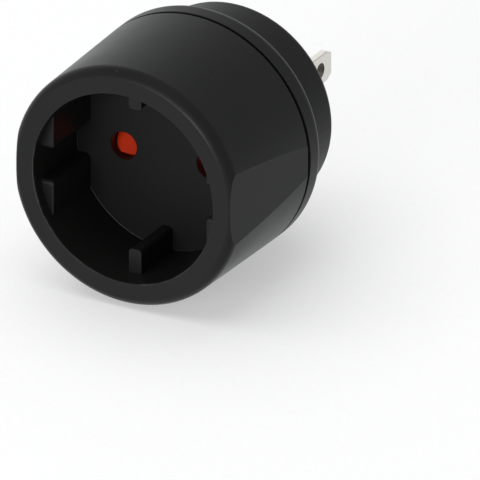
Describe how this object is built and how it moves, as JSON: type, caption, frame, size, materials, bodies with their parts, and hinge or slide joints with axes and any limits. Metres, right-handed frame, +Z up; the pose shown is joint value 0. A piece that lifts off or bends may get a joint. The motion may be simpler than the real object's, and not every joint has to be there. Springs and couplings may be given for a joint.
{
  "type": "travel adapter",
  "caption": "Black round travel adapter: recessed round two-pin socket with a sprung red shutter on the front, two flat blades on a raised platform at the back.",
  "frame": {"origin": "centre of the socket's mouth plane, on the object's axis", "axes": "+Y along the object's axis, from the socket's mouth to the blades; +X along the line of the two pin holes, towards the narrow blade; +Z up, towards the upper screw well"},
  "size_m": [0.0508, 0.0703, 0.0508],
  "materials": {
    "housing_plastic": "satin moulded, black",
    "shutter_plastic": "satin moulded, red",
    "insulator_plastic": "matte moulded, natural",
    "contact_brass": "stamped, bright",
    "blade_plating": "nickel plated, slightly brushed",
    "spring_steel": "bright drawn",
    "screw_steel": "zinc plated"
  },
  "bodies": {
    "housing": {"front_housing": "housing_plastic", "rear_cover": "housing_plastic", "shutter_spring": "spring_steel", "shutter_retainer": "insulator_plastic", "retainer_screws": "screw_steel", "contact_carrier": "insulator_plastic", "carrier_screws": "screw_steel", "sleeve_contact_left": "contact_brass", "sleeve_contact_right": "contact_brass", "clamp_spring_left": "spring_steel", "clamp_spring_right": "spring_steel", "link_strip_left": "contact_brass", "link_strip_right": "contact_brass", "sleeve_rivets": "contact_brass", "blade_rivets": "contact_brass", "blade_narrow": "blade_plating", "blade_wide": "blade_plating", "blade_clamp": "insulator_plastic", "blade_clamp_screws": "screw_steel", "housing_screws": "screw_steel"},
    "shutter": {"shutter": "shutter_plastic"}
  },
  "joints": [
    {"name": "shutter_slide", "type": "slide", "parent": "housing", "child": "shutter", "axis": [0, 0, -1], "range_m": [0, 0.0055], "stiffness_N_per_m": 380, "springref_m": -0.003, "deforming": ["shutter_spring"]}
  ]
}
